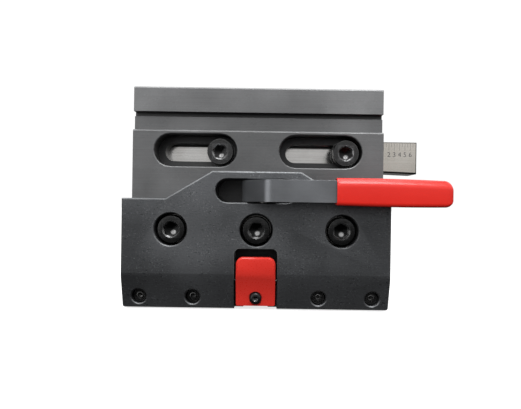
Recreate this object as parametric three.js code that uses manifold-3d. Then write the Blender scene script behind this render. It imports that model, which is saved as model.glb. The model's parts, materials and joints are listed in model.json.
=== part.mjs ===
// Quick-release punch clamp for a press brake: one 150 mm holder of the hook-tang kind.
// Millimetres. +X runs along the beam towards the grip, the front faces -Y, and +Z is up.
// The origin is on the holder's bottom bearing face, in the middle of its length and nose.
import * as THREE from 'three';
import { mergeVertices } from 'three/addons/utils/BufferGeometryUtils.js';
import Module from 'manifold-3d';

const wasm = await Module();
wasm.setup();

// ---- driving dimensions -------------------------------------------------------------------

const GAP = 0.3;                  // clearance kept between pieces that touch
const ROUND = 32;                 // sides of a large visible round
const HEAD_ROUND = 24;            // sides of a screw's head
const SMALL_ROUND = 16;           // sides of a small or hidden round
const COIL_STEPS = 8;             // steps in one turn of a spring
const ARC = 5;                    // half the steps in an arc of an outline

// holder body
const HALF_LENGTH = 75;
const HEIGHT = 130;
const FRONT_Y = -22;              // front face, which the clamp plate closes against
const BACK_Y = 28;
const NOSE_HALF = 8;              // the nose that the punch's shoulder seats on
const NOSE_STRAIGHT_Z = 14;
const BACK_SLOPE_Z = 42;
const TANG_SLOT_TOP_Z = 33.5;     // room for a 30 mm tang
const SHOULDER_Z = 104;           // foot of the groove under the top bar
const TOP_BAR_Z = 115;            // underside of the top bar, the lip the ram's hook holds
const TOP_BAR_FRONT_Y = -20.5;
const GROOVE_FACE_Y = -17.6;
const UNDERCUT_Y = -15.4;         // clearance slot for the hook's edge, under the lip
const UNDERCUT_Z = 112.4;
const WEDGE_WALL_Y = 3.5;         // rear face of the wall, which the wedge slides along
const RAM_FACE_Y = 3;             // rear face of the top bar, which lies on the ram
const RAM_FACE_Z = 102;
const BODY_EDGE = 0.8;            // chamfer on the body's long edges
const CORNER_RELIEF = 1.2;
const MOUTH_CHAMFER = 0.5;
const TAP_CLEARANCE = 1.5;        // how far a tapped hole runs past its screw's end

// adjusting wedge, its screws and their slots
const WEDGE_TAPER = 1 / 30;
const LEDGE_RIGHT_Z = 81.5;       // the sloping ledge's height at the right end
const WEDGE_TOP_Z = 101.5;
const WEDGE_DEPTH = 22;
const WEDGE_HALF_LENGTH = 87;
const WEDGE_EDGE = 0.6;
const SLOT_X = 37.5;              // centres of the two slots, either side of the middle
const SLOT_Z = 91.9;
const WEDGE_TRAVEL = 30;
const SLOT_WIDTH = 11.4;
const SLOT_LENGTH = WEDGE_TRAVEL + SLOT_WIDTH;
const COUNTERBORE_WIDTH = 19.6;
const COUNTERBORE_LENGTH = 49.6;
const COUNTERBORE_FLOOR_Y = -7;
const WEDGE_AT_REST_X = WEDGE_TRAVEL / 2;
const WEDGE_SCREW_X = 38;         // centres of its two screws, either side of its middle
const WEDGE_SCREW_Z = SLOT_Z - 0.3;
const WEDGE_SCREW_HEAD_Y = -19;
const WEDGE_SCREW_END_Y = 19;
const WEDGE_SHANK_R = 4.5;
const WEDGE_WASHER_R = 8.4;

// M10 socket head cap screws
const HEAD_R = 8;
const HEAD_HIGH = 10;
const SHANK_R = 5;
const SOCKET_ACROSS = 8;
const SOCKET_DEEP = 5;
const HEAD_EDGE = 0.9;

// clamp plate
const PLATE_FRONT_Y = -45;
const PLATE_BOTTOM_Z = 1;
const PLATE_SHOULDER_Z = 62.6;
const PLATE_SHOULDER_X = 50.7;
const PLATE_TOP_Z = 78.2;
const PLATE_TOP_X = 24.7;
const PLATE_EDGE = 0.7;           // chamfer all round the front
const PLATE_CORNER_R = 1.2;
const SLOPE_TOP_Z = 21;
const SLOPE_FOOT_Y = -38.6;
const JAW_Y = -21.5;              // inner face of the lower jaw
const JAW_TOP_Z = 32;
const RIB_Y = FRONT_Y - GAP;      // the rib that bears on the body
const RIB_TOP_Z = 49;
const RELIEF_Y = -24;             // above the rib the plate stands clear, so that it can tilt
const RELIEF_START_Z = 50.7;
const JAW_EDGE = 0.6;

// clamp screws and the spherical seats that the plate tilts on
const CLAMP_SCREW_X = [-47.7, 0, 47.7];
const CLAMP_SCREW_Z = 45.5;
const CLAMP_HEAD_Y = -43;
const CLAMP_COUNTERBORE_R = 9.2;
const CLAMP_HOLE_R = 6.3;
const TILT_CENTRE_Y = -40;
const WASHER_SPHERE_R = 12;
const WASHER_R = 8.2;
const SEAT_R = CLAMP_COUNTERBORE_R - GAP;
const SEAT_BACK_Y = -27.5;
const SCREW_END_Y = 6.5;

// dowels and return springs between the body and the plate
const DOWEL_X = 62;
const DOWEL_Z = 52;
const DOWEL_R = 3;
const DOWEL_EDGE = 0.6;
const DOWEL_FRONT_Y = -31;
const DOWEL_BACK_Y = -11;
const DOWEL_SLOT_HIGH = 8.6;      // the plate's dowel holes are upright slots, so that it can tilt
const RETURN_SPRING_X = 24;
const RETURN_SPRING_Z = 38.5;
const RETURN_POCKET_R = 3.4;

// cam lever
const LEVER_X = 4;                // the pivot pin's axis
const LEVER_Y = -36;
const LEVER_Z = 67.4;
const LEVER_HIGH = 12;
const BAR_FRONT_Y = -56;
const BAR_THICK = 6;
const BAR_END_X = 101;
const CAM_LOW_R = 12.2;
const CAM_TURN = 90;              // degrees of cam rise
const HUB_FRONT_R = 12.9;         // from the axis to the slanting front of the hub
const HUB_BACK_R = 7.5;
const BEND_R = 8;
const INNER_BEND_R = 3;
const PIVOT_PIN_R = 3;
const PIN_HOLE_BOTTOM_Z = 55.8;
const WINDOW_HALF = 23;
const WINDOW_HIGH = 13.2;
const GRIP_START_X = 43;
const GRIP_END_X = 105.3;
const GRIP_WALL = 1.6;
const GRIP_HALF_HIGH = [7.5, 7.9, 7.15];   // at its mouth, its middle and its end
const GRIP_DROP = 0.5;            // how much lower its end hangs than its mouth
const GRIP_END_R = 5;
const GRIP_EDGE = 1.4;

// safety button, its hook and its pocket
const POCKET_HALF = 12;
const POCKET_TOP_Z = 35.3;
const POCKET_FLOOR_Y = -33;
const BUTTON_HALF = 11;
const BUTTON_BOTTOM_Z = 2.5;
const BUTTON_TOP_Z = 30.5;
const BUTTON_PIN_Y = -37.5;
const BUTTON_PIN_Z = 16.5;
const BUTTON_PIN_R = 1.5;
const BUTTON_PIN_HALF = 16.5;
const BUTTON_SCREW_Z = 7;
const BUTTON_SPRING_Z = 26;
const HOOK_WINDOW_HALF = 7;
const HOOK_WINDOW_TOP_Z = 16;

// M8 spring plungers
const PLUNGER_X = [-65.7, -35.5, 35.5, 65.7];
const PLUNGER_Z = 7.5;
const PLUNGER_R = 4;
const PLUNGER_MOUTH = 0.6;        // chamfer at the mouth of its hole

// ---- shapes and solids --------------------------------------------------------------------

const v2 = (x, y) => new THREE.Vector2(x, y);
const radians = THREE.MathUtils.degToRad;

// A closed geometry becomes a solid, with its faces pointing out.
function solid(geometry) {
  const bare = geometry.clone();
  bare.deleteAttribute('normal');
  bare.deleteAttribute('uv');
  const merged = mergeVertices(bare, 1e-4);
  const position = merged.attributes.position;
  const index = merged.index.array;
  const corner = [new THREE.Vector3(), new THREE.Vector3(), new THREE.Vector3()];
  const triangles = [];
  let volume = 0;
  for (let i = 0; i < index.length; i += 3) {
    const [a, b, c] = [index[i], index[i + 1], index[i + 2]];
    if (a === b || b === c || c === a) continue;
    triangles.push(a, b, c);
    [a, b, c].forEach((vertex, k) => corner[k].fromBufferAttribute(position, vertex));
    volume += corner[0].dot(corner[1].cross(corner[2]));
  }
  if (volume < 0) triangles.reverse();
  return new wasm.Manifold(new wasm.Mesh({
    numProp: 3,
    vertProperties: new Float32Array(position.array),
    triVerts: new Uint32Array(triangles),
  }));
}

// An outline extruded along an axis. Along X its coordinates are (y, z), along Y they are (x, z),
// and along Z they are (x, y).
const ALONG = {
  x: new THREE.Matrix4().makeBasis(
    new THREE.Vector3(0, 1, 0), new THREE.Vector3(0, 0, 1), new THREE.Vector3(1, 0, 0)),
  y: new THREE.Matrix4().makeBasis(
    new THREE.Vector3(1, 0, 0), new THREE.Vector3(0, 0, 1), new THREE.Vector3(0, -1, 0)),
  z: new THREE.Matrix4(),
};

function extrude(shape, axis, from, to, options = {}) {
  const bevel = options.bevel ?? 0;
  const geometry = new THREE.ExtrudeGeometry(shape, {
    depth: to - from - 2 * bevel,
    steps: 1,
    curveSegments: ARC,
    bevelEnabled: bevel > 0,
    bevelThickness: bevel,
    bevelSize: bevel,
    bevelOffset: -bevel,
    bevelSegments: options.bevelSegments ?? 1,
  });
  geometry.translate(0, 0, bevel + (axis === 'y' ? -to : from));
  geometry.applyMatrix4(ALONG[axis]);
  return solid(geometry);
}

// A flare that chamfers the mouth of a hole in a face that looks towards -Y.
function mouth(shape, faceY, chamfer) {
  const outside = 1;
  const geometry = new THREE.ExtrudeGeometry(shape, {
    depth: outside,
    steps: 1,
    curveSegments: ARC,
    bevelThickness: chamfer,
    bevelSize: chamfer,
    bevelSegments: 1,
  });
  geometry.applyMatrix4(ALONG.y);
  geometry.translate(0, faceY, 0);
  return solid(geometry);
}

function box(x0, x1, y0, y1, z0, z1) {
  const geometry = new THREE.BoxGeometry(x1 - x0, y1 - y0, z1 - z0);
  geometry.translate((x0 + x1) / 2, (y0 + y1) / 2, (z0 + z1) / 2);
  return solid(geometry);
}

const polygon = (points) => new THREE.Shape(points.map(([x, y]) => v2(x, y)));

// An outline with straight sides and rounded corners. A corner is [x, y, radius].
function rounded(corners) {
  const shape = new THREE.Shape();
  corners.forEach(([x, y, radius = 0], i) => {
    const here = v2(x, y);
    const before = v2(...corners.at(i - 1)).sub(here).normalize();
    const after = v2(...corners[(i + 1) % corners.length]).sub(here).normalize();
    if (radius === 0) {
      if (i === 0) shape.moveTo(x, y);
      else shape.lineTo(x, y);
      return;
    }
    const half = Math.acos(before.dot(after)) / 2;
    const start = here.clone().addScaledVector(before, radius / Math.tan(half));
    const end = here.clone().addScaledVector(after, radius / Math.tan(half));
    const middle = before.clone().add(after).normalize();
    const centre = here.clone().addScaledVector(middle, radius / Math.sin(half));
    const from = start.clone().sub(centre).angle();
    const to = end.clone().sub(centre).angle();
    if (i === 0) shape.moveTo(start.x, start.y);
    else shape.lineTo(start.x, start.y);
    shape.absarc(centre.x, centre.y, radius, from, to, before.cross(after) > 0);
  });
  return shape;
}

// A slot outline with full-radius ends.
function stadium(cx, cz, length, width) {
  const r = width / 2;
  const reach = length / 2 - r;
  const shape = new THREE.Shape();
  shape.absarc(cx + reach, cz, r, -Math.PI / 2, Math.PI / 2, false);
  shape.absarc(cx - reach, cz, r, Math.PI / 2, 1.5 * Math.PI, false);
  shape.closePath();
  return shape;
}

// A turned piece on an axis along Y through (x, z). The profile is a list of [radius, y].
function turnedY(x, z, profile, sides = ROUND) {
  const closed = profile[0][0] === 0 ? profile : [...profile, profile[0]];
  const geometry = new THREE.LatheGeometry(closed.map(([r, y]) => v2(r, y)), sides);
  geometry.translate(x, 0, z);
  return solid(geometry);
}

const cylinderY = (x, z, r, y0, y1, sides) =>
  turnedY(x, z, [[0, y0], [r, y0], [r, y1], [0, y1]], sides);

function cylinderZ(x, y, r, z0, z1, sides = SMALL_ROUND) {
  const geometry = new THREE.CylinderGeometry(r, r, z1 - z0, sides);
  geometry.rotateX(Math.PI / 2);
  geometry.translate(x, y, (z0 + z1) / 2);
  return solid(geometry);
}

function cylinderX(y, z, r, x0, x1, sides = SMALL_ROUND) {
  const geometry = new THREE.CylinderGeometry(r, r, x1 - x0, sides);
  geometry.rotateZ(Math.PI / 2);
  geometry.translate((x0 + x1) / 2, y, z);
  return solid(geometry);
}

// A hexagon socket that opens towards -Y.
const socket = (x, z, across, y0, y1) => cylinderY(x, z, across / Math.sqrt(3), y0, y1, 6);

class Helix extends THREE.Curve {
  constructor(x, z, radius, y0, y1, turns) {
    super();
    Object.assign(this, { x, z, radius, y0, y1, turns });
  }

  getPoint(t, target = new THREE.Vector3()) {
    const angle = 2 * Math.PI * this.turns * t;
    return target.set(
      this.x + this.radius * Math.cos(angle),
      THREE.MathUtils.lerp(this.y0, this.y1, t),
      this.z + this.radius * Math.sin(angle));
  }
}

// A compression spring on an axis along Y, between y0 and y1 over its ends.
function coilSpring(x, z, radius, wireR, y0, y1, turns) {
  const section = new THREE.Shape();
  section.absarc(0, 0, wireR, 0, 2 * Math.PI, false);
  return solid(new THREE.ExtrudeGeometry(section, {
    steps: turns * COIL_STEPS,
    curveSegments: 2,
    extrudePath: new Helix(x, z, radius, y0 + wireR, y1 - wireR, turns),
  }));
}

// A socket head cap screw whose head faces -Y.
function capScrew(x, z, headY, endY, shankR) {
  const bearing = headY + HEAD_HIGH;
  const blank = turnedY(x, z, [
    [0, headY], [HEAD_R - HEAD_EDGE, headY], [HEAD_R, headY + HEAD_EDGE], [HEAD_R, bearing],
    [shankR, bearing], [shankR, endY - 1], [shankR - 1, endY], [0, endY],
  ], HEAD_ROUND);
  return blank.subtract(socket(x, z, SOCKET_ACROSS, headY - 1, headY + SOCKET_DEEP));
}

// ---- materials ----------------------------------------------------------------------------

const finish = (color, roughness, metalness) =>
  new THREE.MeshStandardMaterial({ color, roughness, metalness });

const FINISH = {
  machinedOxide: finish(0x5f6466, 0.42, 0.8),
  plateOxide: finish(0x42444a, 0.5, 0.7),
  screwOxide: finish(0x2a2b2d, 0.45, 0.7),
  leverOxide: finish(0x5c5f64, 0.4, 0.8),
  groundSteel: finish(0xb4b2ab, 0.32, 0.95),
  hardenedSteel: finish(0x8c8d90, 0.3, 0.95),
  springSteel: finish(0x77797c, 0.35, 0.95),
  redPaint: finish(0xc83028, 0.35, 0),
  redVinyl: finish(0xe0362b, 0.4, 0),
};

const group = new THREE.Group();

function piece(name, body, material) {
  const data = body.getMesh();
  const geometry = new THREE.BufferGeometry();
  geometry.setAttribute('position', new THREE.BufferAttribute(data.vertProperties, 3));
  geometry.setIndex(new THREE.BufferAttribute(data.triVerts, 1));
  geometry.computeVertexNormals();
  const mesh = new THREE.Mesh(geometry, material);
  mesh.name = name;
  group.add(mesh);
}

// ---- holder body --------------------------------------------------------------------------

const ledgeZ = (x) => LEDGE_RIGHT_Z + (HALF_LENGTH - x) * WEDGE_TAPER;

function holderBody() {
  const edge = BODY_EDGE;
  const relief = CORNER_RELIEF;
  const profile = polygon([
    [-NOSE_HALF, edge], [edge - NOSE_HALF, 0], [NOSE_HALF - edge, 0], [NOSE_HALF, edge],
    [NOSE_HALF, NOSE_STRAIGHT_Z], [BACK_Y, BACK_SLOPE_Z], [BACK_Y, SLOT_Z],
    [WEDGE_WALL_Y, SLOT_Z], [WEDGE_WALL_Y, RAM_FACE_Z], [RAM_FACE_Y, RAM_FACE_Z],
    [RAM_FACE_Y, HEIGHT - edge], [RAM_FACE_Y - edge, HEIGHT],
    [TOP_BAR_FRONT_Y + edge, HEIGHT], [TOP_BAR_FRONT_Y, HEIGHT - edge],
    [TOP_BAR_FRONT_Y, TOP_BAR_Z], [UNDERCUT_Y, TOP_BAR_Z], [UNDERCUT_Y, UNDERCUT_Z],
    [GROOVE_FACE_Y, UNDERCUT_Z], [GROOVE_FACE_Y, SHOULDER_Z],
    [FRONT_Y + edge, SHOULDER_Z], [FRONT_Y, SHOULDER_Z - edge], [FRONT_Y, TANG_SLOT_TOP_Z],
    [-NOSE_HALF - relief, TANG_SLOT_TOP_Z], [-NOSE_HALF - relief, TANG_SLOT_TOP_Z + relief],
    [relief - NOSE_HALF, TANG_SLOT_TOP_Z + relief], [relief - NOSE_HALF, TANG_SLOT_TOP_Z - relief],
    [-NOSE_HALF, TANG_SLOT_TOP_Z - relief],
  ]);
  const left = -HALF_LENGTH - 1;
  const right = HALF_LENGTH + 1;
  const overLedge = polygon([
    [left, ledgeZ(left)], [right, ledgeZ(right)], [right, SLOT_Z + 1], [left, SLOT_Z + 1],
  ]);
  const ledgeGroove = polygon([
    [left, ledgeZ(left) - relief], [right, ledgeZ(right) - relief],
    [right, ledgeZ(right) + relief], [left, ledgeZ(left) + relief],
  ]);
  let body = extrude(profile, 'x', -HALF_LENGTH, HALF_LENGTH)
    .subtract(extrude(overLedge, 'y', WEDGE_WALL_Y, BACK_Y + 1))
    .subtract(extrude(ledgeGroove, 'y', WEDGE_WALL_Y - relief, WEDGE_WALL_Y + relief));
  for (const x of [-SLOT_X, SLOT_X]) {
    const counterbore = stadium(x, SLOT_Z, COUNTERBORE_LENGTH, COUNTERBORE_WIDTH);
    const slot = stadium(x, SLOT_Z, SLOT_LENGTH, SLOT_WIDTH);
    body = body
      .subtract(extrude(counterbore, 'y', FRONT_Y - 1, COUNTERBORE_FLOOR_Y))
      .subtract(mouth(counterbore, FRONT_Y, MOUTH_CHAMFER))
      .subtract(extrude(slot, 'y', COUNTERBORE_FLOOR_Y - 1, WEDGE_WALL_Y + 1));
  }
  for (const x of CLAMP_SCREW_X) {
    body = body.subtract(
      cylinderY(x, CLAMP_SCREW_Z, SHANK_R + GAP, FRONT_Y - 1, SCREW_END_Y + TAP_CLEARANCE));
  }
  for (const side of [-1, 1]) {
    body = body
      .subtract(cylinderY(side * DOWEL_X, DOWEL_Z, DOWEL_R + GAP,
        FRONT_Y - 1, DOWEL_BACK_Y + GAP, SMALL_ROUND))
      .subtract(cylinderY(side * RETURN_SPRING_X, RETURN_SPRING_Z, RETURN_POCKET_R,
        FRONT_Y - 1, RETURN_SPRING.y1 + GAP, SMALL_ROUND));
  }
  return body.subtract(cylinderY(LEVER_X, LEVER_Z, PAD.r + GAP, FRONT_Y - 1, PAD.y1 + GAP));
}

const PAD = { r: 7, edge: 0.6, y1: -17 };
const RETURN_SPRING = { r: 2.3, wireR: 0.55, y0: -28, y1: -16.3, turns: 5 };

function pressurePad() {
  return turnedY(LEVER_X, LEVER_Z, [
    [0, FRONT_Y], [PAD.r - PAD.edge, FRONT_Y], [PAD.r, FRONT_Y + PAD.edge], [PAD.r, PAD.y1],
    [0, PAD.y1],
  ]);
}

const dowel = (x) => turnedY(x, DOWEL_Z, [
  [0, DOWEL_FRONT_Y], [DOWEL_R - DOWEL_EDGE, DOWEL_FRONT_Y], [DOWEL_R, DOWEL_FRONT_Y + DOWEL_EDGE],
  [DOWEL_R, DOWEL_BACK_Y - DOWEL_EDGE], [DOWEL_R - DOWEL_EDGE, DOWEL_BACK_Y], [0, DOWEL_BACK_Y],
], SMALL_ROUND);

const returnSpring = (x) => coilSpring(x, RETURN_SPRING_Z, RETURN_SPRING.r, RETURN_SPRING.wireR,
  RETURN_SPRING.y0, RETURN_SPRING.y1, RETURN_SPRING.turns);

// ---- clamp screws and their spherical seats -----------------------------------------------

// The y of the tilting sphere at a radius from the screw's axis.
const sphereY = (sphereR, r) => TILT_CENTRE_Y + Math.sqrt(sphereR ** 2 - r ** 2);

function sphereProfile(sphereR, r0, r1) {
  const steps = 2;
  return Array.from({ length: steps + 1 }, (_, i) => {
    const r = THREE.MathUtils.lerp(r0, r1, i / steps);
    return [r, sphereY(sphereR, r)];
  });
}

function convexWasher(x) {
  const inner = SHANK_R + GAP;
  const front = CLAMP_HEAD_Y + HEAD_HIGH + GAP;
  return turnedY(x, CLAMP_SCREW_Z, [
    [inner, front], [WASHER_R, front], ...sphereProfile(WASHER_SPHERE_R, WASHER_R, inner),
  ], HEAD_ROUND);
}

function conicalSeat(x) {
  return turnedY(x, CLAMP_SCREW_Z, [
    ...sphereProfile(WASHER_SPHERE_R + GAP, CLAMP_HOLE_R, SEAT_R),
    [SEAT_R, SEAT_BACK_Y], [CLAMP_HOLE_R, SEAT_BACK_Y],
  ], HEAD_ROUND);
}

// ---- clamp plate --------------------------------------------------------------------------

// The y of the lower front slope at a height.
const slopeY = (z) => THREE.MathUtils.mapLinear(
  z, PLATE_BOTTOM_Z, SLOPE_TOP_Z, SLOPE_FOOT_Y, PLATE_FRONT_Y);

function clampPlate() {
  const outline = rounded([
    [-HALF_LENGTH, PLATE_BOTTOM_Z, PLATE_CORNER_R], [HALF_LENGTH, PLATE_BOTTOM_Z, PLATE_CORNER_R],
    [HALF_LENGTH, PLATE_SHOULDER_Z], [PLATE_SHOULDER_X, PLATE_SHOULDER_Z],
    [PLATE_TOP_X, PLATE_TOP_Z], [-PLATE_TOP_X, PLATE_TOP_Z],
    [-PLATE_SHOULDER_X, PLATE_SHOULDER_Z], [-HALF_LENGTH, PLATE_SHOULDER_Z],
  ]);
  const profile = polygon([
    [SLOPE_FOOT_Y, PLATE_BOTTOM_Z], [JAW_Y - JAW_EDGE, PLATE_BOTTOM_Z],
    [JAW_Y, PLATE_BOTTOM_Z + JAW_EDGE], [JAW_Y, JAW_TOP_Z], [RIB_Y, JAW_TOP_Z],
    [RIB_Y, RIB_TOP_Z], [RELIEF_Y, RELIEF_START_Z],
    [RELIEF_Y, PLATE_TOP_Z + 1], [PLATE_FRONT_Y - 1, PLATE_TOP_Z + 1],
    [PLATE_FRONT_Y - 1, SLOPE_TOP_Z], [PLATE_FRONT_Y, SLOPE_TOP_Z],
  ]);
  const blank = extrude(outline, 'y', PLATE_FRONT_Y, JAW_Y + 1, { bevel: PLATE_EDGE })
    .intersect(extrude(profile, 'x', -HALF_LENGTH - 1, HALF_LENGTH + 1));
  return [screwHoles, leverWindow, buttonPocket, plungerHoles, dowelAndSpringHoles]
    .reduce((plate, cut) => cut(plate), blank);
}

function screwHoles(plate) {
  return CLAMP_SCREW_X.reduce((body, x) => body
    .subtract(turnedY(x, CLAMP_SCREW_Z, [
      [0, PLATE_FRONT_Y - 1], [CLAMP_COUNTERBORE_R + MOUTH_CHAMFER + 1, PLATE_FRONT_Y - 1],
      [CLAMP_COUNTERBORE_R, PLATE_FRONT_Y + MOUTH_CHAMFER],
      [CLAMP_COUNTERBORE_R, SEAT_BACK_Y + GAP],
      [0, SEAT_BACK_Y + GAP],
    ]))
    .subtract(cylinderY(x, CLAMP_SCREW_Z, CLAMP_HOLE_R, SEAT_BACK_Y, JAW_Y + 2, HEAD_ROUND)), plate);
}

function leverWindow(plate) {
  const opening = stadium(0, LEVER_Z, 2 * WINDOW_HALF, WINDOW_HIGH);
  return plate
    .subtract(extrude(opening, 'y', PLATE_FRONT_Y - 2, JAW_Y + 2))
    .subtract(mouth(opening, PLATE_FRONT_Y, MOUTH_CHAMFER))
    .subtract(cylinderZ(LEVER_X, LEVER_Y, PIVOT_PIN_R + GAP, PIN_HOLE_BOTTOM_Z, PLATE_TOP_Z + 1))
    .subtract(cylinderY(LEVER_X, GRUB.z, GRUB.r + GAP, LEVER_Y, RELIEF_Y + 1, SMALL_ROUND));
}

const GRUB = { z: 58.3, r: 1.5, socket: 1.5, socketDeep: 2, y0: LEVER_Y + PIVOT_PIN_R + GAP, y1: -24.6 };

function buttonPocket(plate) {
  const pocket = rounded([
    [-POCKET_HALF, -1], [POCKET_HALF, -1], [POCKET_HALF, POCKET_TOP_Z, 3],
    [-POCKET_HALF, POCKET_TOP_Z, 3],
  ]);
  const pinReach = BUTTON_PIN_HALF + GAP;
  return plate
    .subtract(extrude(pocket, 'y', PLATE_FRONT_Y - 1, POCKET_FLOOR_Y))
    .subtract(box(-HOOK_WINDOW_HALF, HOOK_WINDOW_HALF, POCKET_FLOOR_Y - 1, JAW_Y + 1,
      -1, HOOK_WINDOW_TOP_Z))
    .subtract(cylinderY(0, BUTTON_SPRING_Z, BUTTON_SPRING.pocketR, POCKET_FLOOR_Y - 1,
      BUTTON_SPRING.y1 + GAP, SMALL_ROUND))
    .subtract(cylinderX(BUTTON_PIN_Y, BUTTON_PIN_Z, BUTTON_PIN_R + GAP, -pinReach, pinReach));
}

// The mouths of the plungers' holes lie in the slope, where the round holes cut ellipses.
function plungerHoles(plate) {
  const r = PLUNGER_R + GAP;
  const tilt = Math.atan2(SLOPE_FOOT_Y - PLATE_FRONT_Y, SLOPE_TOP_Z - PLATE_BOTTOM_Z);
  const ellipse = polygon(Array.from({ length: HEAD_ROUND }, (_, i) => {
    const angle = 2 * Math.PI * i / HEAD_ROUND;
    return [r * Math.cos(angle), r * Math.sin(angle) / Math.cos(tilt)];
  }));
  const flare = mouth(ellipse, 0, PLUNGER_MOUTH).rotate([THREE.MathUtils.radToDeg(tilt), 0, 0]);
  return PLUNGER_X.reduce((body, x) => body
    .subtract(cylinderY(x, PLUNGER_Z, r, PLATE_FRONT_Y, JAW_Y + 1, HEAD_ROUND))
    .subtract(flare.translate([x, slopeY(PLUNGER_Z), PLUNGER_Z])), plate);
}

function dowelAndSpringHoles(plate) {
  return [-1, 1].reduce((body, side) => {
    const slot = stadium(0, 0, DOWEL_SLOT_HIGH, 2 * (DOWEL_R + GAP));
    const turned = new THREE.Shape(slot.getPoints(ARC).map((p) => v2(
      side * DOWEL_X - p.y, DOWEL_Z + p.x)));
    return body
      .subtract(extrude(turned, 'y', DOWEL_FRONT_Y - 1, JAW_Y + 1))
      .subtract(cylinderY(side * RETURN_SPRING_X, RETURN_SPRING_Z, RETURN_POCKET_R,
        RETURN_SPRING.y0 - GAP, JAW_Y + 1, SMALL_ROUND));
  }, plate);
}

function pivotPin() {
  const top = PLATE_TOP_Z - PLATE_EDGE;
  const bottom = PIN_HOLE_BOTTOM_Z + GAP;
  return cylinderZ(LEVER_X, LEVER_Y, PIVOT_PIN_R, bottom, top);
}

function grubScrew() {
  return cylinderY(LEVER_X, GRUB.z, GRUB.r, GRUB.y0, GRUB.y1, SMALL_ROUND)
    .subtract(socket(LEVER_X, GRUB.z, GRUB.socket, GRUB.y1 - GRUB.socketDeep, GRUB.y1 + 1));
}

// ---- cam lever ----------------------------------------------------------------------------

// The lever in plan. Its cam faces the body and rises towards the closed position, a flat at
// 45 degrees leads from its low side to the bend, and beyond that the bar runs along the plate.
function leverOutline() {
  const polar = (degrees, r) => [
    LEVER_X + r * Math.cos(radians(degrees)), LEVER_Y + r * Math.sin(radians(degrees)),
  ];
  const sweep = (steps, from, to, r0, r1) => Array.from({ length: steps + 1 }, (_, i) => polar(
    THREE.MathUtils.lerp(from, to, i / steps), THREE.MathUtils.lerp(r0, r1, i / steps)));
  const camHighR = FRONT_Y - GAP - LEVER_Y;
  const lowSideX = LEVER_X - CAM_LOW_R;
  const alongFlat = LEVER_X + LEVER_Y - HUB_FRONT_R * Math.SQRT2;   // x + y all along the flat
  const bendX = alongFlat - BAR_FRONT_Y;
  const barBackY = BAR_FRONT_Y + BAR_THICK;
  const bar = rounded([
    [lowSideX, alongFlat - lowSideX], [bendX, BAR_FRONT_Y, BEND_R],
    [BAR_END_X, BAR_FRONT_Y], [BAR_END_X, barBackY],
    [bendX + BAR_THICK * Math.SQRT2, barBackY, INNER_BEND_R], polar(-45, HUB_BACK_R),
  ]);
  return polygon([
    ...sweep(9, 90, 90 + CAM_TURN, camHighR, CAM_LOW_R),
    ...bar.getPoints(ARC).map((p) => [p.x, p.y]),
    ...sweep(4, -45, 60, HUB_BACK_R, HUB_BACK_R).slice(1),
    [LEVER_X + HUB_BACK_R * Math.cos(radians(60)), FRONT_Y - GAP],
  ]);
}

function leverArm() {
  const bottom = LEVER_Z - LEVER_HIGH / 2;
  return extrude(leverOutline(), 'z', bottom, bottom + LEVER_HIGH)
    .subtract(cylinderZ(LEVER_X, LEVER_Y, PIVOT_PIN_R + GAP, bottom - 1, bottom + LEVER_HIGH + 1));
}

// A dipped sleeve, crowned in height, whose cavity holds the end of the bar.
function leverGrip() {
  const stations = [GRIP_START_X, (GRIP_START_X + GRIP_END_X) / 2, GRIP_END_X];
  const edge = (side) => stations.map((x, i) => [
    x, LEVER_Z - GRIP_DROP * i / 2 + side * GRIP_HALF_HIGH[i], i === 2 ? GRIP_END_R : 0]);
  const outline = rounded([...edge(-1), ...edge(1).reverse()]);
  const halfBar = LEVER_HIGH / 2 + GAP;
  const cavity = box(GRIP_START_X - 1, BAR_END_X + GAP, BAR_FRONT_Y - GAP,
    BAR_FRONT_Y + BAR_THICK + GAP, LEVER_Z - halfBar, LEVER_Z + halfBar);
  const wall = GRIP_WALL + GAP;
  return extrude(outline, 'y', BAR_FRONT_Y - wall, BAR_FRONT_Y + BAR_THICK + wall,
    { bevel: GRIP_EDGE, bevelSegments: 2 }).subtract(cavity);
}

// ---- safety button and hook ---------------------------------------------------------------

const BUTTON_SPRING = { r: 2.2, wireR: 0.5, y0: -41.2, y1: -29.3, turns: 5, pocketR: 3.1 };
const BUTTON_BACK_Y = -34.3;
const BUTTON = {
  footR: 1, topR: 4, edge: 0.9, heelTopZ: 20.5, wallBackY: -40, wallBackZ: 22.5,
  scoop: 0.8, scoopSteps: 6,
};
const BUTTON_SCREW = {
  r: 2, headR: 3.5, seatY: -39.4, high: 2.2, endY: -27, across: 2.5, socketDeep: 1.4,
};
const HOOK = {
  half: 5, frontY: BUTTON_BACK_Y + GAP, bodyY: -24, tipY: -19.8, z0: 3.2, z1: 12.6,
  tipZ0: 6, tipZ1: 8.4, tipEdge: 0.6,
};

// The button's lower front is scooped out a little below the plate's slope.
function scoopPoint(t) {
  const z = THREE.MathUtils.lerp(PLATE_BOTTOM_Z, SLOPE_TOP_Z, t);
  return [slopeY(z) + 4 * BUTTON.scoop * t * (1 - t), z];
}

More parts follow.
